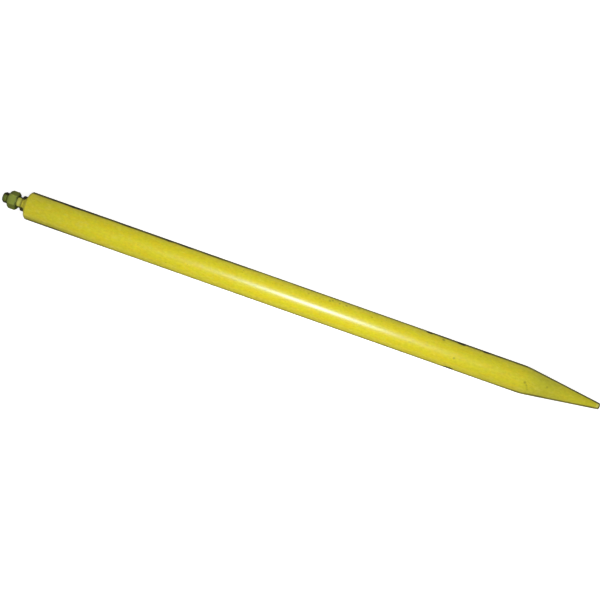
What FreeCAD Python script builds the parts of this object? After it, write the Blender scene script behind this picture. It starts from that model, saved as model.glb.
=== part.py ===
"""Bale spear: a long round bar with a ground point, and a threaded stud with its nut at the rear.

The origin is the centre of the rear shoulder, +X runs to the point and +Z is up.
Lengths are millimetres. There are two sub-parts: the one-piece bar and its hexagon nut.
"""
import FreeCAD
import Part
import Sketcher

import math
import os

# Driving sizes: alias, value, meaning.
SIZES = [
    ("bar_diameter", 45.2, "round bar, 1 3/4 inch nominal, over its scale and paint"),
    ("bar_length", 949.775, "rear shoulder to the end of the point"),
    ("point_length", 125.0, "length of the tapered point"),
    ("tip_diameter", 10.3, "flat at the end of the point"),
    ("tip_rounding", 1.8, "radius round the edge of that flat"),
    ("point_blend", 120.0, "radius where the taper runs out into the bar"),
    ("rear_chamfer", 2.6, "bevel round the rear end of the bar"),
    ("boss_diameter", 24.6, "turned boss behind the shoulder, 31/32 inch"),
    ("boss_length", 9.525, "shoulder to the rear face of the boss, 3/8 inch"),
    ("boss_chamfer", 0.8, "bevel round the rear face of the boss"),
    ("boss_fillet", 0.8, "tool radius in the corner of boss and shoulder"),
    ("stud_diameter", 17.4625, "major diameter of the 11/16 inch coarse thread"),
    ("stud_chamfer", 2.4, "bevel that starts the thread"),
    ("stud_past_nut", 10.4, "thread that stands out behind the nut"),
    ("nut_standoff", 7.1, "thread left bare between boss and nut"),
    ("nut_across_flats", 25.4, "hexagon, 1 inch"),
    ("nut_thickness", 13.8, "hexagon's length along the stud, 35/64 inch"),
    ("nut_face_inset", 0.3, "how far the round bearing face lies inside the flats"),
    ("nut_bevel_angle", 45.0, "slope of the corner bevels, from the bearing face"),
    ("nut_countersink", 1.0, "bevel at both mouths of the bore"),
    ("thread_clearance", 0.05, "gap between stud and bore, measured on the radius"),
]

HEXAGON_SIDES = 6
TOOL_MARGIN = 1.0  # how far the bevelling cut reaches past the hexagon's corners
TOLERANCE = 1e-4

# How Sketcher numbers a line's ends, a circle's centre, the sketch's axes and its origin.
START, END, CENTRE = 1, 2, 3
LEVEL_AXIS, UPRIGHT_AXIS = -1, -2
ORIGIN = (-1, 1)

# Stations along the axis and radii, as expressions on the sheet.
STUD_REAR = "-(Sizes.boss_length + Sizes.nut_standoff + Sizes.nut_thickness + Sizes.stud_past_nut)"
BOSS_REAR = "-Sizes.boss_length"
TAPER_START = "Sizes.bar_length - Sizes.point_length"
TIP = "Sizes.bar_length"
NUT_REAR = "-(Sizes.boss_length + Sizes.nut_standoff + Sizes.nut_thickness)"
STUD_RADIUS = "Sizes.stud_diameter / 2"
BOSS_RADIUS = "Sizes.boss_diameter / 2"
BAR_RADIUS = "Sizes.bar_diameter / 2"
TIP_RADIUS = "Sizes.tip_diameter / 2"
BORE_RADIUS = "Sizes.stud_diameter / 2 + Sizes.thread_clearance"
NUT_INRADIUS = "Sizes.nut_across_flats / 2"
BEVEL_INSIDE = "Sizes.nut_across_flats / 2 - Sizes.nut_face_inset"
BEVEL_OUTSIDE = f"Sizes.nut_across_flats / 2 / cos(180 deg / {HEXAGON_SIDES}) + {TOOL_MARGIN}"
BEVEL_DEPTH = f"(({BEVEL_OUTSIDE}) - ({BEVEL_INSIDE})) * tan(Sizes.nut_bevel_angle * 1 deg)"


def make_sheet(doc):
    """Puts the driving sizes into a spreadsheet, one aliased cell to a row."""
    sheet = doc.addObject("Spreadsheet::Sheet", "Sizes")
    for row, (alias, value, meaning) in enumerate(SIZES, start=1):
        sheet.set(f"A{row}", alias)
        sheet.set(f"B{row}", str(value))
        sheet.set(f"C{row}", meaning)
        sheet.setAlias(f"B{row}", alias)
    doc.recompute()
    return sheet


def size_of(item, expression):
    """The number that an expression on the sheet has now."""
    return float(item.evalExpression(expression))


def make_body(doc, label):
    body = doc.addObject("PartDesign::Body", label)
    body.Label = label
    return body


def origin_feature(body, role):
    """One of the body's own origin planes, found by its role."""
    return next(item for item in body.Origin.OriginFeatures if item.Role == role)


def make_sketch(body, name, plane):
    sketch = body.newObject("Sketcher::SketchObject", name)
    sketch.AttachmentSupport = [(origin_feature(body, plane), "")]
    sketch.MapMode = "FlatFace"
    return sketch


def bind(sketch, constraint, name, expression):
    """Adds a named dimension and ties it to the sheet."""
    index = sketch.addConstraint(constraint)
    sketch.renameConstraint(index, name)
    sketch.setExpression(f"Constraints.{name}", expression)


def draw_outline(sketch, corners):
    """Draws a closed outline whose corners are pairs of expressions, and constrains it fully.

    A line whose two ends share an expression is held level or upright, a coordinate of "0" lies
    on the sketch's axis, and every other coordinate is a dimension from the origin.
    """
    points = [FreeCAD.Vector(size_of(sketch, x), size_of(sketch, y), 0) for x, y in corners]
    first = sketch.GeometryCount
    count = len(points)
    for i, point in enumerate(points):
        sketch.addGeometry(Part.LineSegment(point, points[(i + 1) % count]), False)
    for i in range(count):
        following = first + (i + 1) % count
        joint = Sketcher.Constraint("Coincident", first + i, END, following, START)
        sketch.addConstraint(joint)
    before = (None, None)
    for line, corner in enumerate(corners, start=first):
        across = (corner[0], before[0], "Vertical", UPRIGHT_AXIS, "DistanceX")
        upwards = (corner[1], before[1], "Horizontal", LEVEL_AXIS, "DistanceY")
        for value, previous, held, axis, kind in (across, upwards):
            if value == previous:
                sketch.addConstraint(Sketcher.Constraint(held, line - 1))
            elif value == "0":
                sketch.addConstraint(Sketcher.Constraint("PointOnObject", line, START, axis))
            else:
                length = size_of(sketch, value)
                distance = Sketcher.Constraint(kind, *ORIGIN, line, START, length)
                bind(sketch, distance, f"{kind}_{line}", value)
        before = corner


def round_corner(sketch, line, name, radius):
    """Rounds the corner where this line starts with an arc tangent to both of its lines."""
    kept_ends = [sketch.getPoint(line - 1, START), sketch.getPoint(line, END)]
    arc = sketch.GeometryCount
    trim = keep_corner = True
    sketch.fillet(line - 1, line, *kept_ends, size_of(sketch, radius), trim, keep_corner)
    bind(sketch, Sketcher.Constraint("Radius", arc, size_of(sketch, radius)), name, radius)


def revolve(body, kind, name, sketch):
    """A full turn of the sketch about its horizontal axis, which is the part's X axis."""
    feature = body.newObject(kind, name)
    feature.Profile = sketch
    feature.ReferenceAxis = (sketch, ["H_Axis"])
    feature.Angle = 360
    body.Document.recompute()
    return feature


def circle_at(feature, station, radius):
    """Name of the round edge about the X axis at this station and radius."""
    wanted_x = size_of(feature, station)
    wanted_radius = size_of(feature, radius)
    for number, edge in enumerate(feature.Shape.Edges, start=1):
        if not isinstance(edge.Curve, Part.Circle):
            continue
        miss = abs(edge.Curve.Center.x - wanted_x) + abs(edge.Curve.Radius - wanted_radius)
        if miss < TOLERANCE:
            return f"Edge{number}"
    raise ValueError(f"no round edge at {station}, radius {radius}")


def dress(body, kind, name, places, size_property, size):
    """A chamfer or fillet on the round edges at these (station, radius) places."""
    base = body.Tip
    feature = body.newObject(kind, name)
    feature.Base = (base, [circle_at(base, station, radius) for station, radius in places])
    feature.setExpression(size_property, size)
    body.Document.recompute()
    return feature


def chamfer(body, name, places, size):
    return dress(body, "PartDesign::Chamfer", name, places, "Size", size)


def fillet(body, name, places, size):
    return dress(body, "PartDesign::Fillet", name, places, "Radius", size)


def make_spear_bar(doc):
    """The bar, turned and ground from one length: stud, boss, shoulder, shank and point."""
    body = make_body(doc, "spear_bar")
    sketch = make_sketch(body, "bar_outline", "XZ_Plane")
    outline = [
        (STUD_REAR, "0"),
        (STUD_REAR, STUD_RADIUS),
        (BOSS_REAR, STUD_RADIUS),
        (BOSS_REAR, BOSS_RADIUS),
        ("0", BOSS_RADIUS),
        ("0", BAR_RADIUS),
        (TAPER_START, BAR_RADIUS),
        (TIP, TIP_RADIUS),
        (TIP, "0"),
    ]
    draw_outline(sketch, outline)
    round_corner(sketch, outline.index((TAPER_START, BAR_RADIUS)), "run_out", "Sizes.point_blend")
    revolve(body, "PartDesign::Revolution", "turned_bar", sketch)
    chamfer(body, "rear_bevel", [("0", BAR_RADIUS)], "Sizes.rear_chamfer")
    chamfer(body, "boss_bevel", [(BOSS_REAR, BOSS_RADIUS)], "Sizes.boss_chamfer")
    chamfer(body, "thread_start", [(STUD_REAR, STUD_RADIUS)], "Sizes.stud_chamfer")
    fillet(body, "boss_corner", [("0", BOSS_RADIUS)], "Sizes.boss_fillet")
    fillet(body, "tip_round", [(TIP, TIP_RADIUS)], "Sizes.tip_rounding")
    return body


def draw_hexagon(sketch):
    """A regular hexagon about the origin, with a flat at the top and at the bottom."""
    inradius = size_of(sketch, NUT_INRADIUS)
    corner_radius = inradius / math.cos(math.pi / HEXAGON_SIDES)
    axis = FreeCAD.Vector(0, 0, 1)
    centre = FreeCAD.Vector(0, 0, 0)
    turn = 2 * math.pi / HEXAGON_SIDES
    corners = [
        FreeCAD.Vector(corner_radius * math.cos(turn * i), corner_radius * math.sin(turn * i), 0)
        for i in range(HEXAGON_SIDES)
    ]
    for i, corner in enumerate(corners):
        side = Part.LineSegment(corner, corners[(i + 1) % HEXAGON_SIDES])
        sketch.addGeometry(side, False)
    circle = sketch.addGeometry(Part.Circle(centre, axis, corner_radius), True)
    sketch.addConstraint(Sketcher.Constraint("Coincident", circle, CENTRE, *ORIGIN))
    for i in range(HEXAGON_SIDES):
        following = (i + 1) % HEXAGON_SIDES
        sketch.addConstraint(Sketcher.Constraint("Coincident", i, END, following, START))
        sketch.addConstraint(Sketcher.Constraint("PointOnObject", i, START, circle))
        if i:
            sketch.addConstraint(Sketcher.Constraint("Equal", 0, i))
    top = 1
    sketch.addConstraint(Sketcher.Constraint("Horizontal", top))
    flat = Sketcher.Constraint("DistanceY", *ORIGIN, top, START, inradius)
    bind(sketch, flat, "inradius", NUT_INRADIUS)


def bevel_corners(nut):
    """Turns the hexagon's corners down to a sloping bevel at both faces."""
    sketch = make_sketch(nut, "bevel_outline", "XZ_Plane")
    front = "Sizes.nut_thickness"
    for face, edge in (("0", BEVEL_DEPTH), (front, f"{front} - ({BEVEL_DEPTH})")):
        draw_outline(sketch, [(face, BEVEL_INSIDE), (face, BEVEL_OUTSIDE), (edge, BEVEL_OUTSIDE)])
    return revolve(nut, "PartDesign::Groove", "corner_bevels", sketch)


def drill_bore(nut):
    """A round bore right through the nut, a named clearance larger than the stud."""
    sketch = make_sketch(nut, "bore_outline", "YZ_Plane")
    radius = size_of(sketch, BORE_RADIUS)
    circle = Part.Circle(FreeCAD.Vector(0, 0, 0), FreeCAD.Vector(0, 0, 1), radius)
    sketch.addGeometry(circle, False)
    sketch.addConstraint(Sketcher.Constraint("Coincident", 0, CENTRE, *ORIGIN))
    bind(sketch, Sketcher.Constraint("Radius", 0, radius), "bore_radius", BORE_RADIUS)
    bore = nut.newObject("PartDesign::Pocket", "bore")
    bore.Profile = sketch
    bore.Type = "ThroughAll"
    bore.Reversed = True
    nut.Document.recompute()
    return bore


def make_hex_nut(doc):
    """A full hexagon nut. Its own X = 0 is its rear face, and it sits on the stud behind the boss."""
    nut = make_body(doc, "hex_nut")
    sketch = make_sketch(nut, "hexagon", "YZ_Plane")
    draw_hexagon(sketch)
    prism = nut.newObject("PartDesign::Pad", "prism")
    prism.Profile = sketch
    prism.setExpression("Length", "Sizes.nut_thickness")
    doc.recompute()
    bevels = bevel_corners(nut)
    must_shrink(prism, bevels)
    bore = drill_bore(nut)
    must_shrink(bevels, bore)
    mouths = [("0", BORE_RADIUS), ("Sizes.nut_thickness", BORE_RADIUS)]
    chamfer(nut, "bore_mouths", mouths, "Sizes.nut_countersink")
    nut.setExpression("Placement.Base.x", NUT_REAR)
    doc.recompute()
    return nut


def must_shrink(before, after):
    """Stops if a cut took nothing away."""
    if not after.Shape.Volume < before.Shape.Volume - TOLERANCE:
        raise ValueError(f"{after.Name} cut nothing")


def check_document(doc, bodies):
    """Stops if any object failed to compute, or a sub-part isn't one valid solid."""
    for item in doc.Objects:
        if "Invalid" in item.State or "Error" in item.State:
            raise ValueError(f"{item.Name} failed: {item.State}")
    for body in bodies:
        shape = body.Shape
        if shape.isNull() or not shape.isValid() or len(shape.Solids) != 1:
            raise ValueError(f"{body.Label} is not one valid solid")


def write_step_files(bodies):
    os.makedirs("parts", exist_ok=True)
    for body in bodies:
        body.Shape.exportStep(f"parts/{body.Label}.step")


def main():
    doc = FreeCAD.newDocument("bale_spear")
    make_sheet(doc)
    bodies = [make_spear_bar(doc), make_hex_nut(doc)]
    doc.recompute()
    check_document(doc, bodies)
    write_step_files(bodies)
    for body in bodies:
        box = body.Shape.BoundBox
        print(f"{body.Label}: x {box.XMin:.3f} to {box.XMax:.3f}, volume {body.Shape.Volume:.1f} mm3")


main()
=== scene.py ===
"""A bale spear: a painted round bar drawn to a point, with a shouldered threaded stud and its nut.

The bar with its point, boss and stud is one closed surface of revolution with a cut thread;
the nut is a second closed surface.  Both are worked out as arrays and take procedural finishes.
"""

import math

import bpy
import numpy as np
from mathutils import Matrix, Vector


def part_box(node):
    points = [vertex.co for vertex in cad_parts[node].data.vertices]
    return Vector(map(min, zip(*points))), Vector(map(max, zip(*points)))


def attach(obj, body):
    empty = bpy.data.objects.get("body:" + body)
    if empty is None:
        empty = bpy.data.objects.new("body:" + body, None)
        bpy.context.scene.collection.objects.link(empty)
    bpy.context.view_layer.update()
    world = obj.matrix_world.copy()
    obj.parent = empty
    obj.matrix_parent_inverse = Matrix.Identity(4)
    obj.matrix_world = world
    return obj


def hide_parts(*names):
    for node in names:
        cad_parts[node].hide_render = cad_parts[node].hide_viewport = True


bl_info = {
    "name": "Bale Spear",
    "version": (1, 0, 0),
    "blender": (4, 5, 0),
    "location": "View3D > Sidebar > Bale Spear",
    "description": "Builds a worn, painted bale spear with its threaded stud and nut",
    "category": "Add Mesh",
}

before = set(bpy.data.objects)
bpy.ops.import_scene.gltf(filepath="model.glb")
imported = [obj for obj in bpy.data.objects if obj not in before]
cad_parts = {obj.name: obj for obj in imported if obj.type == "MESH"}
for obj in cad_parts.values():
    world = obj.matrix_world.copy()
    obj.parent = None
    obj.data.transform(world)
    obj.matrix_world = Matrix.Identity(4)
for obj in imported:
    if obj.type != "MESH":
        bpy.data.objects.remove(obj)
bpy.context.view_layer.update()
BAR_LOW, BAR_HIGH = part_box("spear_bar")
NUT_LOW, NUT_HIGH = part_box("hex_nut")

MM = 0.001
FULL_TURN = 2.0 * math.pi
ARC_STEP = math.radians(7.5)
CREST_HALF, ROOT_START = 1.0 / 16.0, 3.0 / 8.0  # the thread's crest and root, as shares of its pitch
SPEAR_COLUMNS, NUT_COLUMNS = 112, 240  # points round each piece
BORE_ROWS = 84
FLOOR_HALF = 8.0


def from_screen(red, green, blue):
    """A display colour, 0 to 255 a channel, as the linear values that shaders use."""
    shares = np.array([red, green, blue]) / 255.0
    linear = np.where(shares <= 0.04045, shares / 12.92, ((shares + 0.055) / 1.055) ** 2.4)
    return tuple(float(value) for value in linear)


# --- Sizes and colours that a user would change ---


def length(name, description, default):
    """A property in metres."""
    return bpy.props.FloatProperty(
        name=name, description=description, default=default, min=0.0, precision=5, unit="LENGTH"
    )


def share(name, description, default):
    """A property from 0 to 1."""
    return bpy.props.FloatProperty(
        name=name, description=description, default=default, min=0.0, max=1.0, subtype="FACTOR"
    )


def power(name, description, default):
    """A property in watts."""
    return bpy.props.FloatProperty(
        name=name, description=description, default=default, min=0.0, unit="POWER"
    )


def colour(name, description, red, green, blue):
    """A colour property, written as a display colour."""
    return bpy.props.FloatVectorProperty(
        name=name,
        description=description,
        default=from_screen(red, green, blue),
        min=0.0,
        max=1.0,
        size=3,
        subtype="COLOR",
    )


class SpearShape(bpy.types.PropertyGroup):
    """Sizes of the bar, its point, its boss and its stud."""

    bar_radius: length("Bar Radius", "Radius of the round bar", BAR_HIGH.z)
    point_length: length("Point Length", "Length of the taper at the front end", 125.0 * MM)
    tip_radius: length("Tip Radius", "Radius that the taper would reach at the blunt end", 5.15 * MM)
    tip_rounding: length("Tip Rounding", "Rounding of the blunt end's edge", 1.8 * MM)
    taper_blend: length("Taper Blend", "Radius of the run-out where the taper starts", 120.0 * MM)
    rear_bevel: length("Rear Bevel", "Bevel of the bar's rear edge", 2.6 * MM)
    boss_radius: length("Boss Radius", "Radius of the turned boss behind the bar", 12.3 * MM)
    boss_length: length("Boss Length", "Length of the boss", 9.525 * MM)
    boss_bevel: length("Boss Bevel", "Bevel of the boss's rear edge", 0.8 * MM)
    stud_radius: length("Stud Radius", "Outside radius of the stud's thread", 8.73125 * MM)
    stud_bevel: length("Stud Bevel", "Bevel of the stud's end", 2.4 * MM)
    thread_pitch: length("Thread Pitch", "Advance of the thread in one turn", 2.309 * MM)
    thread_depth: length("Thread Depth", "Depth of the thread's groove", 1.25 * MM)
    unevenness: length("Unevenness", "Greatest hollow of the rolled surface", 0.06 * MM)
    scrape_depth: length("Scrape Depth", "How deep the scrapes go into the surface", 0.16 * MM)


class NutShape(bpy.types.PropertyGroup):
    """Sizes of the nut."""

    across_flats: length("Across Flats", "Width over two opposite flats", NUT_HIGH.z - NUT_LOW.z)
    corner_rounding: length("Corner Rounding", "Softening of the six upright edges", 0.45 * MM)
    bevel_start: length("Bevel Start", "Radius on the end face where the bevel starts", 12.4 * MM)
    bore_radius: length("Bore Radius", "Radius of the bore at the thread's crests", 8.78125 * MM)
    countersink: length("Countersink", "Depth and width of the bore's lead-in", 1.0 * MM)
    groove_depth: length("Groove Depth", "Depth of the thread cut into the bore", 0.6 * MM)


class Finish(bpy.types.PropertyGroup):
    """Colours of the paint, the steel and the plating."""

    enamel: colour("Enamel", "Clean yellow enamel", 224, 214, 28)
    enamel_warm: colour("Warm Enamel", "Thicker enamel, a little more orange", 232, 207, 22)
    enamel_dull: colour("Dull Enamel", "Enamel under a film of dirt", 190, 188, 44)
    enamel_haze: colour("Hazy Enamel", "Chalky haze on the flanks and in patches", 226, 215, 92)
    # Pale enamel: painted highlights on the bar's rear bevel and blunt tip, and the rubbed corners of
    # the nut.
    pale_enamel_and_highlight: colour("Rubbed Enamel", "Pale enamel where edges are rubbed", 226, 222, 110)
    scraped_steel: colour("Scraped Steel", "Dark steel and grime in the scrapes", 40, 35, 2)
    # Dark colour for dirt specks and flank dirt, and for the painted shade along both rims and at the
    # tip's end.
    rim_dirt_and_shade: colour("Flank Dirt", "Dark dirt rubbed into the paint of the flanks", 76, 72, 4)
    stud_steel: colour("Stud Steel", "Greenish plated steel of the stud", 130, 140, 46)
    plating: colour("Plating", "Olive plating of the nut", 127, 138, 44)
    overspray: colour("Overspray", "Thin paint over the plating of the stud's neck", 218, 218, 92)
    # Dark colour of oily dirt, also used for painted shade on the stud and the nut, and for the boss's
    # dark sides.
    grime_and_shade: colour("Grime", "Oily dirt in corners and thread roots", 36, 30, 1)
    scrape_amount: share("Scrapes", "How strongly the scrapes show", 1.0)


class StageLight(bpy.types.PropertyGroup):
    """The lamp, the fill light and the floor."""

    lamp_height: length("Lamp Height", "Height of the lamp above the bar's axis", 0.7)
    lamp_ahead: length("Lamp Ahead", "How far the lamp stands ahead of the bar's middle", 0.032)
    lamp_aside: length("Lamp Aside", "How far the lamp stands to the side of the bar", 0.034)
    lamp_width: length("Lamp Width", "Diameter of the round lamp", 0.16)
    lamp_power: power("Lamp Power", "Power of the lamp", 2.7)
    gloss_power: power("Gloss Power", "Power of the lamp in reflections", 15.2)
    gloss_tint: colour("Gloss Tint", "Cool tint of the lamp in reflections", 178, 213, 255)
    fill_light: share("Fill Light", "Brightness of the light from all round", 0.45)
    fill_slant: share("Fill Slant", "How much brighter the fill light is from the -Y side", 0.25)
    floor_bounce: share("Floor Bounce", "Share of the light that the floor sends back up", 0.45)
    floor_glow: share("Floor Glow", "Share of the floor's white that isn't dimmed by shadow", 0.75)
    eye_height: length("Camera Height", "Height of the camera above the bar's axis", 1.52)
    eye_aside: length("Camera Aside", "How far the camera stands beside the axis", 0.00148)
    eye_behind: length("Camera Behind", "How far the camera stands behind the object's middle", 0.0028)
    lens: bpy.props.FloatProperty(
        name="Lens", description="Focal length of the camera", default=58.1, min=1.0, unit="CAMERA"
    )
    turn: bpy.props.FloatProperty(
        name="Turn", description="Turn of the picture about the line of sight",
        default=math.radians(19.42), subtype="ANGLE",
    )


# Scrapes along the bar, each as: start and end in mm from the shoulder, the side in degrees
# from the top towards -Y, the width in degrees, and the strength.
SCRAPES = (
    (-5, 130, -75, 17, 0.92),
    (146, 166, -75, 16, 0.92),
    (182, 212, -76, 14, 0.74),
    (216, 234, -74, 17, 1),
    (241, 268, -74, 15, 0.92),
    (272, 300, -76, 14, 0.78),
    (308, 368, -78, 12, 0.62),
    (556, 570, -77, 11, 0.6),
    (658, 661, -67, 9, 0.84),
    (679, 684, -71, 9, 0.7),
    (694, 712, -75, 13, 0.76),
    (709, 716, -68, 13, 0.94),
    (751, 758, -71, 14, 0.9),
    (765, 790, -76, 13, 0.74),
    (798, 817, -77, 12, 0.64),
    (829, 850, -75, 13, 0.72),
    (852, 938, -78, 11, 0.6),
    (184, 194, 84, 13, 0.78),
    (697, 711, 77, 15, 0.98),
)

# How far in from the bar's edge, seen from above, the dark rim bands of the flanks start: painted
# shade, with dirt on the +Y rim.
RIM_BAND_REACH = 2.6 * MM

# Spots of dirt: place in mm from the shoulder, side in degrees, radius in mm, strength.
MARKS = (
    (706, 12, 1.9, 0.54),
    (745, -33, 1.7, 0.34),
    (822, 8, 2.2, 0.6),
    (826, 17, 1.8, 0.36),
    (828, 26, 1.9, 0.4),
    (830, 36, 1.9, 0.36),
    (858, -4, 2.4, 0.36),
    (496, -44, 2.1, 0.56),
    (500, -51, 1.7, 0.42),
    (512, -47, 1.8, 0.42),
    (523, -48, 2.0, 0.5),
    (543, -58, 2.6, 0.42),
    (461, -42, 1.9, 0.4),
    (480, -39, 1.6, 0.26),
    (566, -36, 1.9, 0.38),
    (534, -52, 1.7, 0.32),
    (547, 11, 1.5, 0.34),
    (553, 11, 1.5, 0.3),
    (683, -51, 2.6, 0.76),
)


# --- Shapes ---


def smooth_step(low, high, value):
    """0 below low, 1 above high, and three squares less two cubes of the share in between."""
    portion = np.clip((value - low) / (high - low), 0.0, 1.0)
    return portion * portion * (3.0 - 2.0 * portion)


def rounded_outline(corners, steps):
    """An outline through the corners, each an (x, radius, rounding) triple.

    A corner is cut back along both its edges by the rounding times the tangent of half the
    turn, and an arc of that rounding joins the two cuts.  Straight runs are divided evenly,
    no longer than the step given for each edge, and an arc as its incoming edge is.
    """
    points = np.array([corner[:2] for corner in corners], float)
    rounding = np.array([corner[2] for corner in corners], float)
    edges = np.diff(points, axis=0)
    ways = edges / np.linalg.norm(edges, axis=1)[:, None]
    outline = [points[:1]]
    start = points[0]
    for index in range(1, len(points)):
        if index == len(points) - 1:
            arc = points[-1:]
        else:
            before, after = ways[index - 1], ways[index]
            turn = math.atan2(before[0] * after[1] - before[1] * after[0], before @ after)
            cut = rounding[index] * abs(math.tan(turn / 2.0))
            side = math.copysign(1.0, turn)
            across = np.array([-before[1], before[0]]) * side
            arc_steps = rounding[index] * abs(turn) / steps[index - 1]
            count = max(2, int(abs(turn) / ARC_STEP) + 1, int(arc_steps) + 2)
            bend = np.linspace(0.0, abs(turn), count)[:, None]
            entry = points[index] - before * cut
            arc = entry + rounding[index] * (np.sin(bend) * before + (1.0 - np.cos(bend)) * across)
            if not rounding[index]:
                arc = points[index : index + 1]
        run = np.linalg.norm(arc[0] - start)
        count = max(1, int(math.ceil(run / steps[index - 1])))
        shares = np.linspace(0.0, 1.0, count + 1)[1:, None]
        outline.append(start + (arc[0] - start) * shares)
        outline.append(arc[1:])
        start = arc[-1]
    return np.concatenate(outline)


def ripple(along, round_angle, seed, waves, longest, shortest):
    """A sum of cosine waves over length and angle with random directions, from -1 to 1."""
    draw = np.random.default_rng(seed)
    total = np.zeros(np.broadcast(along, round_angle).shape)
    for _ in range(waves):
        wavelength = longest * (shortest / longest) ** draw.random()
        turns = draw.integers(0, 5)
        phase = draw.random() * FULL_TURN
        total += np.cos(along * FULL_TURN / wavelength + round_angle * turns + phase)
    return total / waves


def thread_groove(along, round_angle, pitch):
    """Depth share of a right-hand 60 degree thread.

    The phase is the advance over the pitch less the turn: the crest is flat for an eighth of
    the pitch, the root for a quarter, and straight flanks join them.
    """
    phase = along / pitch - round_angle / FULL_TURN
    from_crest = np.abs(phase - np.round(phase))
    return np.clip((from_crest - CREST_HALF) / (ROOT_START - CREST_HALF), 0.0, 1.0)


def side_difference(angle, centre):
    """The turn from centre to angle in degrees, between -180 and 180."""
    return (np.degrees(angle) - centre + 180.0) % 360.0 - 180.0


def dirt_marks(along, angle):
    """The spots of dirt, each falling off from its centre as a bell curve."""
    field = np.zeros(np.broadcast(along, angle).shape)
    for centre, side, radius, strength in MARKS:
        arc = np.radians(side_difference(angle, side)) * BAR_HIGH.z / MM
        field = np.maximum(field, strength * np.exp(-((along / MM - centre) ** 2 + arc**2) / radius**2))
    return field


def scrape_field(along, angle):
    """How bare each point is: the greatest of all strokes that pass over it.

    A stroke falls off smoothly from its middle.  Its distance is the root of the square of the
    turn from its middle over twice its width, plus the fourth power of the place from its
    middle over half its length and 7 mm more.
    """
    place = along / MM
    field = np.zeros(np.broadcast(along, angle).shape)
    for start, end, side, width, strength in SCRAPES:
        along_share = (place - (start + end) / 2.0) / ((end - start) / 2.0 + 7.0)
        across_share = side_difference(angle, side) / (2.0 * width)
        distance = np.sqrt(along_share**4 + across_share**2)
        field = np.maximum(field, strength * smooth_step(1.0, 0.1, distance))
    return field


def grid_mesh(name, points, closed_rows):
    """A mesh over a grid of points, rows along the piece and columns round it.

    Columns always join up into rings.  Rows join up too when closed_rows is true; otherwise
    the first and last rows are single points and are closed by fans of triangles.
    """
    rows, columns = points.shape[:2]
    flat = points.reshape(-1, 3)
    ids = np.arange(rows * columns).reshape(rows, columns)
    if closed_rows:
        ids = np.vstack([ids, ids[:1]])
    here = ids[:-1]
    beyond = ids[1:]
    quads = np.stack(
        [here, np.roll(here, -1, 1), np.roll(beyond, -1, 1), beyond], axis=-1
    ).reshape(-1, 4)
    loops = [quads.ravel()]
    sizes = [np.full(len(quads), 4)]
    if not closed_rows:
        poles = np.array([points[0].mean(0), points[-1].mean(0)])
        flat = np.concatenate([flat, poles])
        first, last = rows * columns, rows * columns + 1
        ring = ids[0]
        fan = np.stack([np.full(columns, first), np.roll(ring, -1), ring], axis=-1)
        loops.append(fan.ravel())
        sizes.append(np.full(columns, 3))
        ring = ids[-1]
        fan = np.stack([np.full(columns, last), ring, np.roll(ring, -1)], axis=-1)
        loops.append(fan.ravel())
        sizes.append(np.full(columns, 3))
    corners = np.concatenate(loops).astype(np.int32)
    counts = np.concatenate(sizes).astype(np.int32)
    mesh = bpy.data.meshes.new(name)
    mesh.vertices.add(len(flat))
    mesh.vertices.foreach_set("co", flat.astype(np.float32).ravel())
    mesh.loops.add(len(corners))
    mesh.loops.foreach_set("vertex_index", corners)
    mesh.polygons.add(len(counts))
    mesh.polygons.foreach_set("loop_start", (np.cumsum(counts) - counts).astype(np.int32))
    mesh.polygons.foreach_set("use_smooth", np.ones(len(counts), bool))
    mesh.update(calc_edges=True)
    mesh.validate()
    return mesh


def add_field(mesh, name, values, poles=(0.0, 0.0)):
    """Stores one number at each vertex for the finish to read, and one at each end point."""
    full = np.concatenate([np.ravel(values), poles])
    attribute = mesh.attributes.new(name, "FLOAT", "POINT")
    attribute.data.foreach_set("value", full.astype(np.float32))


def add_piece(mesh, name, node, material):
    """Puts a finished mesh into the scene in place of its solid."""
    piece = bpy.data.objects.new(name, mesh)
    bpy.context.scene.collection.objects.link(piece)
    mesh.materials.append(material)
    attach(piece, "root")
    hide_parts(node)


def spear_outline(shape):
    """The outline of the bar from the stud's end to the point's end, as x and radius."""
    rear = BAR_LOW.x
    front = BAR_HIGH.x
    radius = shape.bar_radius
    boss = shape.boss_radius
    stud = shape.stud_radius
    taper_start = front - shape.point_length
    corners = [
        (rear, 0.0, 0.0),
        (rear, stud - shape.stud_bevel, 0.25 * MM),
        (rear + shape.stud_bevel, stud, 0.3 * MM),
        (-shape.boss_length, stud, 0.0),
        (-shape.boss_length, boss - shape.boss_bevel, 0.2 * MM),
        (-shape.boss_length + shape.boss_bevel, boss, 0.3 * MM),
        (0.0, boss, 0.8 * MM),
        (0.0, radius - shape.rear_bevel, 0.5 * MM),
        (shape.rear_bevel, radius, 1.2 * MM),
        (taper_start, radius, shape.taper_blend),
        (front, shape.tip_radius, shape.tip_rounding),
        (front, 0.0, 0.0),
    ]
    fine = shape.thread_pitch / 14.0
    steps = [
        1.2 * MM, 0.5 * MM, fine, 0.8 * MM, 0.4 * MM, 0.8 * MM,
        1.2 * MM, 0.8 * MM, 1.62 * MM, 1.6 * MM, 0.9 * MM,
    ]
    return rounded_outline(corners, steps)


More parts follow.
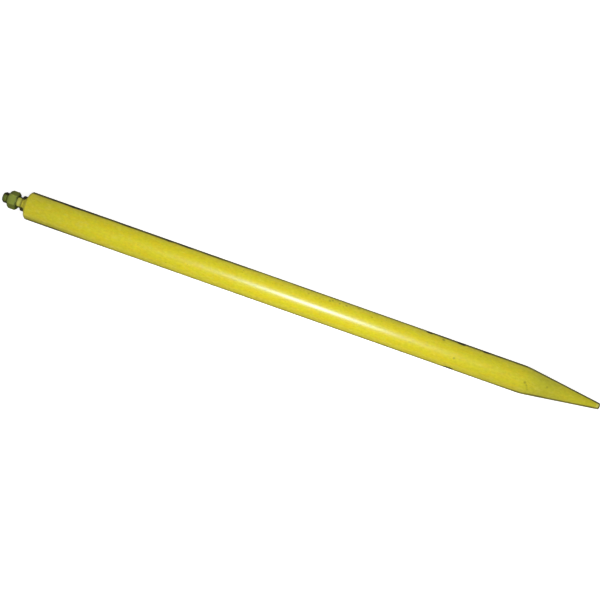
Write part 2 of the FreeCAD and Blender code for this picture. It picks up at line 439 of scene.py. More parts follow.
def build_spear(shape):
    """The bar, point, boss and stud as one closed surface.

    A point is at x along the bar, and at minus radius times sine and plus radius times
    cosine of the angle in y and z.  The radius is the outline's, less the thread's groove on
    the stud as far as the nut's face, less a slight unevenness, and less a little where the
    paint is scraped away.
    """
    outline = spear_outline(shape)[1:-1]
    along = outline[:, :1]
    radius = outline[:, 1:]
    angle = np.linspace(0.0, FULL_TURN, SPEAR_COLUMNS, endpoint=False)[None, :]
    wear = scrape_field(along, angle)
    wave = ripple(along, angle, seed=11, waves=14, longest=220.0 * MM, shortest=24.0 * MM)
    hollow = shape.unevenness * 0.5 * (1.0 - wave) * smooth_step(0.0, 6.0 * MM, along)
    hollow = hollow + shape.scrape_depth * wear * smooth_step(0.0, 2.0 * MM, along)
    run_in = smooth_step(BAR_LOW.x, BAR_LOW.x + 1.2 * MM, along)
    run_out = smooth_step(NUT_HIGH.x + 1.8 * MM, NUT_HIGH.x + 0.3 * MM, along)
    on_stud = (along < -shape.boss_length - 1e-7) & (radius > shape.stud_radius * 0.75)
    groove = thread_groove(along, angle, shape.thread_pitch) * on_stud * run_in * run_out
    depth = groove * np.clip(radius - (shape.stud_radius - shape.thread_depth), 0.0, None)
    reach = radius - hollow - depth
    points = np.stack(
        [np.broadcast_to(along, reach.shape), -reach * np.sin(angle), reach * np.cos(angle)], axis=-1
    )
    mesh = grid_mesh("painted_spear", points, closed_rows=False)
    add_field(mesh, "wear", wear)
    add_field(mesh, "cover", paint_cover(along, angle, shape), (0.0, 1.0))
    add_field(mesh, "soil", soil_film(along, angle))
    add_field(mesh, "haze", haze_film(along, angle))
    add_field(mesh, "mist", neck_mist(along, angle, shape))
    add_field(mesh, "rubbed_and_highlight", painted_edge_highlights(along, angle))
    add_field(mesh, "pits", pitted_paint(along, angle))
    add_field(mesh, "grime_and_shade", grime_and_shade_film(along, angle, groove, shape), (0.7, 0.6))
    return mesh


# In the next functions a place along is in metres from the shoulder, and a side is the turn
# from the top in degrees, positive towards -Y.  Each gives one number from 0 to 1 or a little
# more at every point, made of smooth steps over place and side.


def paint_cover(along, angle, shape):
    """How much paint covers each point: all of the bar, and the boss's top and a little below."""
    from_top = np.abs(side_difference(angle, 0.0))
    boss = smooth_step(44.0, 30.0, from_top) + 0.25 * smooth_step(140.0, 170.0, from_top)
    behind = np.where(along > -shape.boss_length + 0.9 * MM, boss, 0.0)
    return np.where(along > -0.3 * MM, 1.0, behind)


def neck_mist(along, angle, shape):
    """The overspray on the stud's neck, from the nut's face to the boss, on its upper side."""
    from_top = np.abs(side_difference(angle, 0.0))
    behind_boss = along < -shape.boss_length + 0.9 * MM
    ahead_of_nut = smooth_step(NUT_HIGH.x - 2.375 * MM, NUT_HIGH.x - 0.375 * MM, along)
    return smooth_step(66.0, 38.0, from_top) * ahead_of_nut * behind_boss


def haze_film(along, angle):
    """A chalky haze that makes the flanks paler in hue, with a little more at the rear."""
    from_top = np.abs(side_difference(angle, 0.0))
    flanks = 0.3 * smooth_step(30.0, 62.0, from_top)
    rear = 0.08 * smooth_step(0.22, 0.02, along) + 0.16 * smooth_step(0.002, 0.0, along)
    return flanks + rear


def soil_film(along, angle):
    """A thin film of dirt that dulls the paint: at the rear, on the taper and underneath."""
    side = side_difference(angle, 0.0)
    upper_side = smooth_step(10.0, -40.0, side) * smooth_step(0.24, 0.4, along)
    taper = 0.72 * smooth_step(0.79, 0.86, along) - 0.26 * smooth_step(0.862, 0.9, along)
    ahead = 0.2 * smooth_step(0.62, 0.8, along)
    rear = 0.28 * smooth_step(0.14, 0.0, along)
    underneath = 0.6 * smooth_step(85.0, 130.0, np.abs(side))
    return np.maximum(np.maximum.reduce([taper, ahead, rear]) + 0.1 * upper_side, underneath)


def rim_shade_bands(along, side, shape):
    """Dark bands along both flank rims: painted shade where the round turns from the light, deeper on
    the +Y rim, which also holds dirt; fainter over the bar's middle.

    The bands keep their width on the taper: the side where they start drops by as much as the
    arcsine of 1 less their reach over the local radius does.
    """
    past_taper_start = (along - (BAR_HIGH.x - shape.point_length)).clip(0.0)
    narrowing = (shape.bar_radius - shape.tip_radius) / shape.point_length
    local_radius = shape.bar_radius - past_taper_start * narrowing
    starts = [np.arcsin(1.0 - RIM_BAND_REACH / radius) for radius in (shape.bar_radius, local_radius)]
    drop = np.degrees(starts[0] - starts[1])
    rear_half = smooth_step(0.39, 0.33, along)
    ahead = smooth_step(0.62, 0.7, along)
    left = 0.8 + 0.2 * rear_half + 0.08 * smooth_step(0.24, 0.14, along) + 0.2 * ahead
    left_start = -60.0 + 5.0 * rear_half + 4.0 * ahead + drop
    left = left * smooth_step(0.0, 13.0, left_start - side) * smooth_step(-102.0, -82.0, side)
    near_rear = smooth_step(0.2, 0.02, along)
    near_taper = smooth_step(0.77, 0.84, along)
    right = 0.46 + 0.42 * near_rear + 0.14 * smooth_step(0.46, 0.55, along)
    right = right + 0.14 * smooth_step(0.7, 0.85, along)
    right_start = 62.0 - 6.0 * near_rear - 9.0 * near_taper - drop
    right = right * smooth_step(0.0, 14.0, side - right_start) * smooth_step(102.0, 84.0, side)
    return np.maximum(left, right)


def bar_shade_and_dirt(along, angle, side, shape):
    """The bar's dark marks: the rim bands of painted shade and dirt, painted shade at the tip's end,
    darker sides of the rear bevel and rear flanks, and spots of dirt.
    """
    # Painted shade round the tip's very end.
    end = smooth_step(BAR_HIGH.x - 3.2 * MM, BAR_HIGH.x - 1.8 * MM, along)
    bevel = smooth_step(shape.rear_bevel + 0.8 * MM, shape.rear_bevel - 0.6 * MM, along)
    bevel = bevel * (0.34 * smooth_step(-30.0, -50.0, side) + 0.2 * smooth_step(40.0, 60.0, side))
    film = smooth_step(0.17, 0.03, along)
    film = film * (0.34 * smooth_step(32.0, 66.0, side) + 0.14 * smooth_step(-46.0, -64.0, side))
    parts = [rim_shade_bands(along, side, shape), end + 0.0 * angle, bevel, film, dirt_marks(along, angle)]
    return np.maximum.reduce(parts)


def boss_darkening(along, side, shape):
    """The boss: darker on both sides below the painted top, and a line of painted shade behind its rear
    edge's bevel, where a groove's shade would fall.
    """
    painted_half = 26.0 + 44.0 * smooth_step(-5.5 * MM, -0.8 * MM, along)
    flanks = smooth_step(-5.0, 8.0, np.abs(side) - painted_half)
    # The line is painted shade, standing for a groove behind the rear bevel.
    from_line = np.abs(along + shape.boss_length - 1.7 * MM)
    return np.maximum(flanks, 0.74 * smooth_step(1.7 * MM, 0.5 * MM, from_line))


def stud_shade(along, angle, side, groove):
    """Painted shade on the stud: the neck's sides, the thread's sides and roots, and darker towards its
    end.
    """
    neck = smooth_step(NUT_HIGH.x - 3.375 * MM, NUT_HIGH.x - 1.375 * MM, along)
    neck_side = smooth_step(42.0, 66.0, np.abs(side))
    thread_side = np.maximum(smooth_step(-12.0, -40.0, side), 0.8 * smooth_step(34.0, 62.0, side))
    thread_side = thread_side * smooth_step(BAR_LOW.x + 0.3 * MM, BAR_LOW.x + 2.4 * MM, along)
    stud_side = neck * neck_side + (1.0 - neck) * thread_side
    end = 0.7 * smooth_step(BAR_LOW.x + 7.0 * MM, BAR_LOW.x + 0.5 * MM, along)
    return np.maximum.reduce([0.3 * groove, stud_side, end + 0.0 * angle])


def grime_and_shade_film(along, angle, groove, shape):
    """Dark dirt and painted shade over the whole surface, put together from the bar's, the boss's and
    the stud's.
    """
    side = side_difference(angle, 0.0)
    on_boss = along > -shape.boss_length - 0.01 * MM
    behind = np.where(on_boss, boss_darkening(along, side, shape), stud_shade(along, angle, side, groove))
    return np.where(along > 0.01 * MM, bar_shade_and_dirt(along, angle, side, shape), behind)


def painted_edge_highlights(along, angle):
    """Painted highlights: paler paint on the rear bevel's edge and over the blunt tip, where light
    catches them.
    """
    rear = smooth_step(-0.2 * MM, 1.2 * MM, along) * smooth_step(6.0 * MM, 2.6 * MM, along)
    tip = smooth_step(BAR_HIGH.x - 9.0 * MM, BAR_HIGH.x - 5.0 * MM, along)
    return np.maximum(0.8 * rear, 1.5 * tip) + 0.0 * angle


def pitted_paint(along, angle):
    """How many specks lie on each part: most on the middle third's +Y side, few elsewhere."""
    side = side_difference(angle, 0.0)
    middle = smooth_step(0.3, 0.38, along) * smooth_step(0.68, 0.58, along)
    return 0.04 + 0.46 * middle * smooth_step(-16.0, -30.0, side) * smooth_step(-75.0, -62.0, side)


def hexagon_radius(angle, half_flats, rounding):
    """Distance from the axis to a hexagon with flats up and down, its corners rounded.

    Within a twelfth of a turn of each flat the distance is the half width over the cosine.
    Near a corner it is the smaller of that and of a circle of the rounding set inside it.
    """
    sector = FULL_TURN / 6.0
    from_flat = np.abs((angle + sector / 2.0) % sector - sector / 2.0)
    straight = half_flats / np.cos(from_flat)
    centre = (half_flats - rounding) / math.cos(sector / 2.0)
    from_corner = sector / 2.0 - from_flat
    root = np.sqrt(np.clip(rounding**2 - (centre * np.sin(from_corner)) ** 2, 0.0, None))
    round_part = centre * np.cos(from_corner) + root
    touches = np.arctan2((half_flats - rounding) * math.tan(sector / 2.0), half_flats)
    return np.where(from_flat > touches, round_part, straight)


def build_nut(shape, pitch):
    """The nut as one closed ring.

    Round each of many angles the section runs up the threaded bore, out over the countersink
    and end face, down a 45 degree bevel to the crease where it meets the hexagon, along the
    flat to the other crease, and back.  The bevel's height at the crease is the hexagon's
    radius beyond the bevel's start.
    """
    angle = np.linspace(0.0, FULL_TURN, NUT_COLUMNS, endpoint=False)
    outer = hexagon_radius(angle, shape.across_flats / 2.0, shape.corner_rounding)
    rise = np.clip(outer - shape.bevel_start, 0.0, None)
    bore = np.full(NUT_COLUMNS, shape.bore_radius)
    lead = bore + shape.countersink
    start = np.full(NUT_COLUMNS, shape.bevel_start)
    low, high = NUT_LOW.x, NUT_HIGH.x
    low_lead, high_lead = low + shape.countersink, high - shape.countersink
    knots = [
        (low_lead, bore), (low, lead), (low, start), (low + rise, outer),
        (high - rise, outer), (high, start), (high, lead), (high_lead, bore),
    ]
    counts = [5, 7, 8, 20, 8, 7, 5, BORE_ROWS]
    bevels = (2, 4)
    sections = []
    for index, count in enumerate(counts):
        x_here, r_here = knots[index]
        x_next, r_next = knots[(index + 1) % len(knots)]
        step = np.linspace(0.0, 1.0, count, endpoint=False)[:, None]
        if count != BORE_ROWS:  # closer together near both ends of a side
            edge = 0.72 * np.sin(step * FULL_TURN) / FULL_TURN
            step = np.clip(step - edge, 0.0, 1.0)
        x_line = x_here + (x_next - x_here) * step + 0.0 * angle
        sections.append(np.stack([x_line, r_here + (r_next - r_here) * step], -1))
    section = np.concatenate(sections)
    along, radius = section[..., 0], section[..., 1]
    in_bore = np.zeros(radius.shape)
    through = np.linspace(0.0, 1.0, BORE_ROWS)[:, None]
    in_bore[-BORE_ROWS:] = smooth_step(0.0, 0.12, through) * smooth_step(1.0, 0.88, through)
    groove = thread_groove(along, angle[None, :], pitch) * in_bore
    reach = radius + groove * shape.groove_depth
    points = np.stack([along, -reach * np.sin(angle), reach * np.cos(angle)], axis=-1)
    mesh = grid_mesh("plated_nut", points[::-1], closed_rows=True)
    on_bevel = np.isin(np.repeat(np.arange(len(counts)), counts), bevels)[:, None]
    outside = smooth_step(shape.bevel_start * 0.98, shape.bevel_start * 1.04, radius)
    corner = smooth_step(0.93, 1.0, outer / outer.max()) * outside
    add_field(mesh, "rubbed_and_highlight", np.maximum(corner, 0.24 * on_bevel)[::-1], ())
    # Painted shade on both end faces, in the bore and in a line on the flats just behind the front
    # face; the nut also darker towards its rear end, more over the +Y side.
    face = (np.abs(along - low) < 0.05 * MM) | (np.abs(along - high) < 0.05 * MM)
    side = side_difference(angle, 0.0)
    rear_darkening = smooth_step(low + 8.0 * MM, low, along) * (0.5 + 0.3 * smooth_step(-12.0, -28.0, side))
    front_shade_line = 0.6 * smooth_step(1.3 * MM, 0.3 * MM, np.abs(along - high + 1.0 * MM))
    add_field(mesh, "groove", np.maximum.reduce([in_bore, 0.8 * face, rear_darkening, front_shade_line])[::-1], ())
    return mesh


# --- Finishes ---


def feed(tree, node, inputs):
    """Gives a node's inputs their values, or links them to other nodes' outputs."""
    for key, value in inputs.items():
        if isinstance(value, bpy.types.NodeSocket):
            tree.links.new(value, node.inputs[key])
        else:
            node.inputs[key].default_value = value


def place(tree, kind, inputs=None, **settings):
    """Adds one node, sets its options and feeds its inputs."""
    node = tree.nodes.new(kind)
    for name, value in settings.items():
        setattr(node, name, value)
    feed(tree, node, inputs or {})
    return node


def calc(tree, operation, *values, clamp=False):
    """One Math node's output."""
    inputs = dict(enumerate(values))
    return place(tree, "ShaderNodeMath", inputs, operation=operation, use_clamp=clamp).outputs[0]


def remap(tree, value, low, high):
    """A smooth step from 0 where the value is low to 1 where it is high."""
    inputs = {"Value": value, "From Min": low, "From Max": high}
    node = place(tree, "ShaderNodeMapRange", inputs, interpolation_type="SMOOTHSTEP")
    return node.outputs["Result"]


def blend_colours(tree, factor, under, over, mode="MIX"):
    """Two colours mixed by a factor."""
    inputs = {0: factor, 6: under, 7: over}
    node = place(tree, "ShaderNodeMix", inputs, data_type="RGBA", blend_type=mode, clamp_factor=True)
    return node.outputs[2]


def blend_values(tree, factor, under, over):
    """Two numbers mixed by a factor."""
    return place(tree, "ShaderNodeMix", {0: factor, 2: under, 3: over}, data_type="FLOAT").outputs[0]


def noise(tree, where, scale, detail=3.0, roughness=0.55, distortion=0.0):
    """Cloud noise at a place, from about 0 to 1."""
    inputs = {
        "Vector": where, "Scale": scale, "Detail": detail,
        "Roughness": roughness, "Distortion": distortion,
    }
    return place(tree, "ShaderNodeTexNoise", inputs).outputs["Fac"]


def stretched(tree, where, along, across):
    """Coordinates scaled differently along the bar and across it."""
    return place(
        tree, "ShaderNodeMapping", {"Vector": where, "Scale": (along, across, across)}
    ).outputs["Vector"]


def new_group(name, inputs, output, kind="NodeSocketFloat"):
    """An empty node group that takes coordinates and named numbers, and puts out one result."""
    group = bpy.data.node_groups.new(name, "ShaderNodeTree")
    sockets = group.interface
    sockets.new_socket("Coordinates", in_out="INPUT", socket_type="NodeSocketVector")
    for label, default in inputs.items():
        socket = sockets.new_socket(label, in_out="INPUT", socket_type="NodeSocketFloat")
        socket.default_value = default
    sockets.new_socket(output, in_out="OUTPUT", socket_type=kind)
    ends = [group.nodes.new(end) for end in ("NodeGroupInput", "NodeGroupOutput")]
    return group, ends[0].outputs, ends[1].inputs


def mottle_group():
    """Soft uneven tone: broad clouds and finer blotches added, as a value round zero."""
    inputs = {"Broad Scale": 14.0, "Fine Scale": 120.0}
    group, given, result = new_group("Mottle", inputs, "Tone")
    broad = noise(group, given["Coordinates"], given["Broad Scale"], 3.0)
    fine = noise(group, given["Coordinates"], given["Fine Scale"], 4.0, 0.6)
    both = calc(group, "MULTIPLY_ADD", fine, 0.6, broad)
    tone = calc(group, "MULTIPLY_ADD", both, 2.0, -1.6)
    group.links.new(tone, result["Tone"])
    return group


def ragged_group():
    """A soft mask broken into ragged flakes: noise raised by the mask, cut at a sharp edge."""
    inputs = {"Mask": 0.0, "Flake Scale": 300.0, "Sharpness": 0.12}
    group, given, result = new_group("Ragged Edge", inputs, "Bare")
    long_way = stretched(group, given["Coordinates"], 0.18, 1.0)
    flakes = noise(group, long_way, given["Flake Scale"], 6.0, 0.65, 0.3)
    raised = calc(group, "ADD", flakes, given["Mask"])
    upper = calc(group, "ADD", given["Sharpness"], 1.0)
    group.links.new(remap(group, raised, 0.96, upper), result["Bare"])
    return group


def speck_group():
    """Scattered small specks: the centres of random cells that are dark by chance."""
    inputs = {"Scale": 160.0, "Share": 0.1, "Size": 0.25}
    group, given, result = new_group("Specks", inputs, "Specks")
    cells = place(
        group, "ShaderNodeTexVoronoi",
        {"Vector": given["Coordinates"], "Scale": given["Scale"], "Randomness": 1.0},
        feature="F1", distance="EUCLIDEAN",
    )
    chance = place(group, "ShaderNodeSeparateColor", {"Color": cells.outputs["Color"]}).outputs[0]
    chosen = calc(group, "LESS_THAN", chance, given["Share"])
    wobble = noise(group, given["Coordinates"], 900.0, 2.0)
    distance = calc(group, "MULTIPLY_ADD", wobble, 0.12, cells.outputs["Distance"])
    near = remap(group, distance, given["Size"], 0.05)
    group.links.new(calc(group, "MULTIPLY", chosen, near), result["Specks"])
    return group


def hairline_group():
    """Fine long scratches: a thin band of strongly stretched noise, broken up by more noise."""
    inputs = {"Along": 10.0, "Across": 420.0, "Amount": 0.5}
    group, given, result = new_group("Hairlines", inputs, "Lines")
    scale = place(
        group, "ShaderNodeCombineXYZ", {"X": given["Along"], "Y": given["Across"], "Z": given["Across"]}
    ).outputs[0]
    drawn = place(
        group, "ShaderNodeVectorMath", {0: given["Coordinates"], 1: scale}, operation="MULTIPLY"
    ).outputs[0]
    lines = noise(group, drawn, 1.0, 2.0, 0.5, 0.4)
    off_centre = calc(group, "ABSOLUTE", calc(group, "SUBTRACT", lines, 0.5))
    thin = remap(group, off_centre, 0.012, 0.0)
    gaps = remap(group, noise(group, given["Coordinates"], 35.0, 2.0), 0.52, 0.62)
    group.links.new(
        calc(group, "MULTIPLY", calc(group, "MULTIPLY", thin, gaps), given["Amount"]), result["Lines"]
    )
    return group


def skin_group():
    """The fine relief of a sprayed or plated surface, as a normal."""
    inputs = {"Scale": 420.0, "Strength": 0.1, "Pits": 0.0, "Depth": 0.0002}
    group, given, result = new_group("Skin", inputs, "Normal", "NodeSocketVector")
    orange_peel = noise(group, given["Coordinates"], given["Scale"], 2.0, 0.5)
    height = calc(group, "SUBTRACT", orange_peel, given["Pits"])
    bump = place(
        group, "ShaderNodeBump",
        {"Strength": given["Strength"], "Distance": given["Depth"], "Height": height},
    )
    group.links.new(bump.outputs["Normal"], result["Normal"])
    return group


GROUP_MAKERS = {
    "Mottle": mottle_group,
    "Ragged Edge": ragged_group,
    "Specks": speck_group,
    "Hairlines": hairline_group,
    "Skin": skin_group,
}


def effect(tree, name, where, **inputs):
    """The result of one placed copy of an effect's group, which is built when first asked for.

    An input is named with underscores for spaces.
    """
    node = place(tree, "ShaderNodeGroup")
    node.node_tree = bpy.data.node_groups.get(name) or GROUP_MAKERS[name]()
    feed(tree, node, {"Coordinates": where})
    feed(tree, node, {label.replace("_", " "): value for label, value in inputs.items()})
    return node.outputs[0]


def empty_tree(owner):
    """The node tree of a new material or world, with nothing in it."""
    owner.use_nodes = True
    owner.node_tree.nodes.clear()
    return owner.node_tree


def start_material(name):
    """A material with only its surface shader, and the coordinates of its object."""
    material = bpy.data.materials.new(name)
    tree = empty_tree(material)
    shader = place(tree, "ShaderNodeBsdfPrincipled")
    end = place(tree, "ShaderNodeOutputMaterial")
    tree.links.new(shader.outputs["BSDF"], end.inputs["Surface"])
    where = place(tree, "ShaderNodeTexCoord").outputs["Object"]
    return material, tree, shader, where


def field(tree, name):
    """The number stored under a name at each vertex."""
    return place(tree, "ShaderNodeAttribute", attribute_name=name).outputs["Fac"]


def rgba(values):
    """A colour with full opacity."""
    return (*values, 1.0)


def enamel_material(finish):
    """Worn yellow enamel over steel: tone, dirt, painted shade, painted highlights, specks, scrapes,
    and plated steel on the stud.
    """
    material, tree, shader, where = start_material("Worn Yellow Enamel")
    tone = effect(tree, "Mottle", where, Broad_Scale=22.0, Fine_Scale=110.0)
    grain = noise(tree, stretched(tree, where, 0.6, 1.0), 330.0, 3.0, 0.6)
    patches = noise(tree, stretched(tree, where, 0.45, 1.0), 110.0, 3.0, 0.6, 0.4)
    warm = calc(tree, "MULTIPLY", remap(tree, patches, 0.4, 0.64), 0.6)
    chalk = noise(tree, stretched(tree, where, 0.5, 1.0), 190.0, 4.0, 0.65, 0.2)
    chalk = calc(tree, "MULTIPLY_ADD", remap(tree, chalk, 0.45, 0.7), 0.3, -0.06)
    film = calc(tree, "MULTIPLY_ADD", tone, 0.2, field(tree, "soil"), clamp=True)
    haze = calc(tree, "ADD", chalk, field(tree, "haze"), clamp=True)
    lively = calc(tree, "MULTIPLY_ADD", tone, 0.07, calc(tree, "MULTIPLY_ADD", grain, 0.4, 0.8))
    paint = blend_colours(tree, warm, rgba(finish.enamel), rgba(finish.enamel_warm))
    paint = blend_colours(tree, film, paint, rgba(finish.enamel_dull))
    paint = blend_colours(tree, haze, paint, rgba(finish.enamel_haze))
    paint = blend_colours(tree, 1.0, paint, lively, "MULTIPLY")
    # Paler enamel: painted highlights on the rear bevel's edge and the blunt tip.
    edges = calc(tree, "MULTIPLY", field(tree, "rubbed_and_highlight"), 0.62)
    rubbed_and_highlight = effect(tree, "Ragged Edge", where, Mask=edges, Flake_Scale=380.0, Sharpness=0.2)
    paint = blend_colours(tree, calc(tree, "MULTIPLY", rubbed_and_highlight, 0.7), paint, rgba(finish.pale_enamel_and_highlight))
    cells = stretched(tree, where, 0.7, 1.0)
    specks = effect(tree, "Specks", cells, Scale=260.0, Share=field(tree, "pits"), Size=0.34)
    paint = blend_colours(tree, calc(tree, "MULTIPLY", specks, 0.42), paint, rgba(finish.rim_dirt_and_shade))
    lines = effect(tree, "Hairlines", where, Along=8.0, Across=380.0, Amount=0.25)
    paint = blend_colours(tree, lines, paint, rgba(finish.enamel_dull))
    streaks = noise(tree, stretched(tree, where, 0.12, 1.0), 260.0, 4.0, 0.6)
    # Painted shade and dirt together: dark rim bands, the tip's end, the rear's sides and spots, broken
    # up by streaks.
    grime_and_shade = calc(tree, "MULTIPLY_ADD", streaks, 1.1, calc(tree, "SUBTRACT", field(tree, "grime_and_shade"), 0.55))
    grime_and_shade = calc(tree, "MULTIPLY", remap(tree, field(tree, "grime_and_shade"), 0.0, 0.3), grime_and_shade, clamp=True)
    paint = blend_colours(tree, grime_and_shade, paint, rgba(finish.rim_dirt_and_shade))
    scrapes = calc(tree, "MULTIPLY", field(tree, "wear"), 0.8 * finish.scrape_amount)
    bare = effect(tree, "Ragged Edge", where, Mask=scrapes, Flake_Scale=260.0, Sharpness=0.14)
    paint = blend_colours(tree, bare, paint, rgba(finish.scraped_steel))

    steel = blend_colours(tree, field(tree, "mist"), rgba(finish.stud_steel), rgba(finish.overspray))
    # Painted shade on the stud and the boss's dark sides, in the dark grime colour.
    steel = blend_colours(tree, grime_and_shade, steel, rgba(finish.grime_and_shade))
    steel = blend_colours(tree, 1.0, steel, calc(tree, "MULTIPLY_ADD", tone, 0.2, 1.0), "MULTIPLY")
    painted = calc(tree, "MULTIPLY_ADD", field(tree, "cover"), 0.9, 0.1)
    cover = effect(tree, "Ragged Edge", where, Mask=painted, Flake_Scale=500.0, Sharpness=0.3)
    cover = calc(tree, "MAXIMUM", cover, calc(tree, "GREATER_THAN", field(tree, "cover"), 0.97))
    dulled = calc(tree, "MAXIMUM", field(tree, "mist"), grime_and_shade)
    clean_steel = calc(
        tree, "MULTIPLY", calc(tree, "SUBTRACT", 1.0, cover), calc(tree, "SUBTRACT", 1.0, dulled)
    )
    clean_paint = calc(tree, "SUBTRACT", 1.0, calc(tree, "MAXIMUM", bare, grime_and_shade))
    rough = calc(tree, "MULTIPLY_ADD", film, 0.06, calc(tree, "MULTIPLY_ADD", tone, 0.03, 0.35))
    rough = blend_values(tree, calc(tree, "MULTIPLY", cover, clean_paint), 0.6, rough)
    pits = calc(tree, "MULTIPLY", bare, 1.5)
    skin = effect(tree, "Skin", where, Scale=420.0, Strength=0.22, Pits=pits, Depth=0.0003)
    feed(tree, shader, {
        "Base Color": blend_colours(tree, cover, steel, paint),
        "Roughness": rough,
        "Metallic": calc(tree, "MULTIPLY", clean_steel, 0.4),
        "Normal": skin,
        "Specular IOR Level": 0.25,
    })
    return material


def plating_material(finish):
    """Olive plated steel with painted shade on its end faces, near its front and in its bore, darker
    towards its rear, and brighter rubbed corners.
    """
    material, tree, shader, where = start_material("Olive Plated Steel")
    tone = effect(tree, "Mottle", where, Broad_Scale=120.0, Fine_Scale=520.0)
    mottled = calc(tree, "MULTIPLY_ADD", tone, 0.5, 0.3, clamp=True)
    plate = blend_colours(tree, mottled, rgba(finish.plating), rgba(finish.stud_steel))
    # The nut's painted shade and darker rear, in the grime colour, broken by the tone.
    dirt_and_shade = calc(tree, "MULTIPLY_ADD", tone, 0.4, field(tree, "groove"), clamp=True)
    plate = blend_colours(tree, calc(tree, "MULTIPLY", dirt_and_shade, 0.75), plate, rgba(finish.grime_and_shade))
    lines = effect(tree, "Hairlines", where, Along=300.0, Across=1500.0, Amount=0.6)
    plate = blend_colours(tree, lines, plate, rgba(finish.grime_and_shade))
    corners = calc(tree, "MULTIPLY", field(tree, "rubbed_and_highlight"), 0.5)
    rubbed_and_highlight = effect(tree, "Ragged Edge", where, Mask=corners, Flake_Scale=900.0, Sharpness=0.2)
    plate = blend_colours(tree, calc(tree, "MULTIPLY", rubbed_and_highlight, 0.5), plate, rgba(finish.pale_enamel_and_highlight))
    skin = effect(tree, "Skin", where, Scale=1400.0, Strength=0.3, Pits=dirt_and_shade, Depth=0.0001)
    feed(tree, shader, {
        "Base Color": plate,
        "Roughness": calc(tree, "MULTIPLY_ADD", dirt_and_shade, 0.2, 0.42),
        "Metallic": 0.55,
        "Normal": skin,
    })
    return material


# --- Stage ---


def seen_directly(tree):
    """1 for a ray from the camera, a reflection or glass, and 0 for soft light."""
    path = place(tree, "ShaderNodeLightPath").outputs
    either = calc(tree, "ADD", path["Is Camera Ray"], path["Is Glossy Ray"])
    return calc(tree, "ADD", either, path["Is Transmission Ray"], clamp=True)


def far_enough(tree, near, far):
    """0 for a ray shorter than the near distance, rising to 1 at the far distance."""
    ray_length = place(tree, "ShaderNodeLightPath").outputs["Ray Length"]
    return remap(tree, ray_length, near, far)


def floor_material(stage):
    """A white floor that keeps soft shadows, and sends back only part of the light.

    A reflection finds it dim close by, where the object hides the light from it.  A ray from
    the camera finds it white at any distance.
    """
    material = bpy.data.materials.new("White Floor")
    tree = empty_tree(material)
    bounce = stage.floor_bounce
    speckle = noise(tree, place(tree, "ShaderNodeTexCoord").outputs["Object"], 3.0)
    plain = calc(tree, "MULTIPLY_ADD", speckle, 0.02, bounce - 0.01)
    dim = place(tree, "ShaderNodeBsdfDiffuse", {"Color": plain}).outputs[0]
    bright = place(tree, "ShaderNodeBsdfDiffuse", {"Color": (0.8, 0.8, 0.8, 1.0)}).outputs[0]
    glow = place(tree, "ShaderNodeEmission", {"Strength": stage.floor_glow}).outputs[0]
    lit = place(tree, "ShaderNodeAddShader", {0: bright, 1: glow}).outputs[0]
    hidden = place(tree, "ShaderNodeBsdfDiffuse", {"Color": (0.12, 0.12, 0.12, 1.0)}).outputs[0]
    camera_ray = place(tree, "ShaderNodeLightPath").outputs["Is Camera Ray"]
    open_floor = calc(tree, "MAXIMUM", far_enough(tree, 0.04, 0.3), camera_ray)
    shown = place(tree, "ShaderNodeMixShader", {0: open_floor, 1: hidden, 2: lit}).outputs[0]
    mixed = place(tree, "ShaderNodeMixShader", {0: seen_directly(tree), 1: dim, 2: shown}).outputs[0]
    place(tree, "ShaderNodeOutputMaterial", {"Surface": mixed})
    return material


def white_world(stage):
    """Light from all round: dim for the object and slanted to one side, white where it is seen."""
    world = bpy.data.worlds.new("Soft White Room")
    tree = empty_tree(world)
    round_about = place(tree, "ShaderNodeTexCoord").outputs["Generated"]
    way = place(tree, "ShaderNodeSeparateXYZ", {0: round_about})
    fill = stage.fill_light
    slant = calc(tree, "MULTIPLY_ADD", way.outputs["Y"], -stage.fill_slant * fill, fill)
    strength = blend_values(tree, seen_directly(tree), slant, 1.0)
    back = place(tree, "ShaderNodeBackground", {"Color": (1.0, 1.0, 1.0, 1.0), "Strength": strength})
    place(tree, "ShaderNodeOutputWorld", {"Surface": back.outputs[0]})
    return world


# --- Operators ---


class SPEAR_OT_stage(bpy.types.Operator):
    """Sets up the floor, the lamp, the fill light and the camera"""

    bl_idname = "spear.stage"
    bl_label = "Set Up Stage"

    def execute(self, context):
        stage = context.scene.spear_stage
        scene = context.scene
        middle = (BAR_LOW.x + BAR_HIGH.x) / 2.0
        ends = ((-1, -1), (1, -1), (1, 1), (-1, 1))
        corners = [(x * FLOOR_HALF, y * FLOOR_HALF, BAR_LOW.z) for x, y in ends]
        mesh = bpy.data.meshes.new("floor")
        mesh.from_pydata(corners, [], [(0, 1, 2, 3)])
        mesh.materials.append(floor_material(stage))
        floor = bpy.data.objects.new("floor", mesh)
        scene.collection.objects.link(floor)

        scene.world = white_world(stage)

        white = (1.0, 1.0, 1.0)
        lamps = (
            ("round_lamp", stage.lamp_power, white),
            ("gloss_lamp", stage.gloss_power, stage.gloss_tint),
        )
        for name, power, tint in lamps:
            light = bpy.data.lights.new(name, "AREA")
            light.color = tint
            light.shape = "DISK"
            light.size = stage.lamp_width
            light.energy = power
            lamp = bpy.data.objects.new(name, light)
            lamp.location = (middle + stage.lamp_ahead, -stage.lamp_aside, stage.lamp_height)
            lamp.visible_camera = False
            lamp.visible_diffuse = name == "round_lamp"
            lamp.visible_glossy = name == "gloss_lamp"
            scene.collection.objects.link(lamp)

        lens = bpy.data.cameras.new("camera")
        lens.sensor_width = 36.0
        lens.lens = stage.lens
        lens.clip_start = 0.05
        lens.clip_end = 50.0
        eye = bpy.data.objects.new("camera", lens)
        eye.location = (middle - stage.eye_behind, stage.eye_aside, stage.eye_height)
        eye.rotation_euler = (0.0, 0.0, stage.turn)
        scene.collection.objects.link(eye)
        scene.camera = eye
        scene.view_settings.view_transform = "Standard"
        return {"FINISHED"}


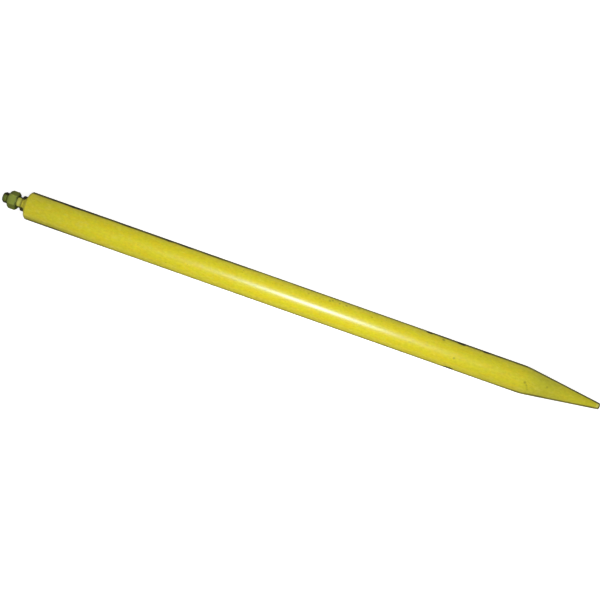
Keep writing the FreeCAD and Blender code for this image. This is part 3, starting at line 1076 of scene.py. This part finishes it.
class SPEAR_OT_spear(bpy.types.Operator):
    """Builds the painted bar with its point, boss and threaded stud"""

    bl_idname = "spear.painted_spear"
    bl_label = "Build Painted Spear"

    def execute(self, context):
        mesh = build_spear(context.scene.spear_shape)
        material = enamel_material(context.scene.spear_finish)
        add_piece(mesh, "painted_spear", "spear_bar", material)
        return {"FINISHED"}


class SPEAR_OT_nut(bpy.types.Operator):
    """Builds the plated hexagon nut on the stud"""

    bl_idname = "spear.plated_nut"
    bl_label = "Build Plated Nut"

    def execute(self, context):
        mesh = build_nut(context.scene.spear_nut, context.scene.spear_shape.thread_pitch)
        material = plating_material(context.scene.spear_finish)
        add_piece(mesh, "plated_nut", "hex_nut", material)
        return {"FINISHED"}


class SPEAR_PT_sidebar(bpy.types.Panel):
    """Lists the steps that build the spear"""

    bl_idname = "SPEAR_PT_sidebar"
    bl_label = "Bale Spear"
    bl_space_type = "VIEW_3D"
    bl_region_type = "UI"
    bl_category = "Bale Spear"

    def draw(self, context):
        layout = self.layout
        scene = context.scene
        for settings in (scene.spear_shape, scene.spear_nut, scene.spear_finish, scene.spear_stage):
            box = layout.box()
            for name in settings.__annotations__:
                box.prop(settings, name)
        for operator in (SPEAR_OT_stage, SPEAR_OT_spear, SPEAR_OT_nut):
            layout.operator(operator.bl_idname)


CLASSES = (
    SpearShape, NutShape, Finish, StageLight,
    SPEAR_OT_stage, SPEAR_OT_spear, SPEAR_OT_nut, SPEAR_PT_sidebar,
)


def register():
    """Makes the settings, the operators and the panel known to Blender."""
    for item in CLASSES:
        bpy.utils.register_class(item)
    bpy.types.Scene.spear_shape = bpy.props.PointerProperty(type=SpearShape)
    bpy.types.Scene.spear_nut = bpy.props.PointerProperty(type=NutShape)
    bpy.types.Scene.spear_finish = bpy.props.PointerProperty(type=Finish)
    bpy.types.Scene.spear_stage = bpy.props.PointerProperty(type=StageLight)


def unregister():
    """Takes them away again."""
    for name in ("spear_stage", "spear_finish", "spear_nut", "spear_shape"):
        delattr(bpy.types.Scene, name)
    for item in reversed(CLASSES):
        bpy.utils.unregister_class(item)


def main():
    """Builds everything."""
    register()
    bpy.ops.spear.stage()
    bpy.ops.spear.painted_spear()
    bpy.ops.spear.plated_nut()


if __name__ == "__main__":
    main()
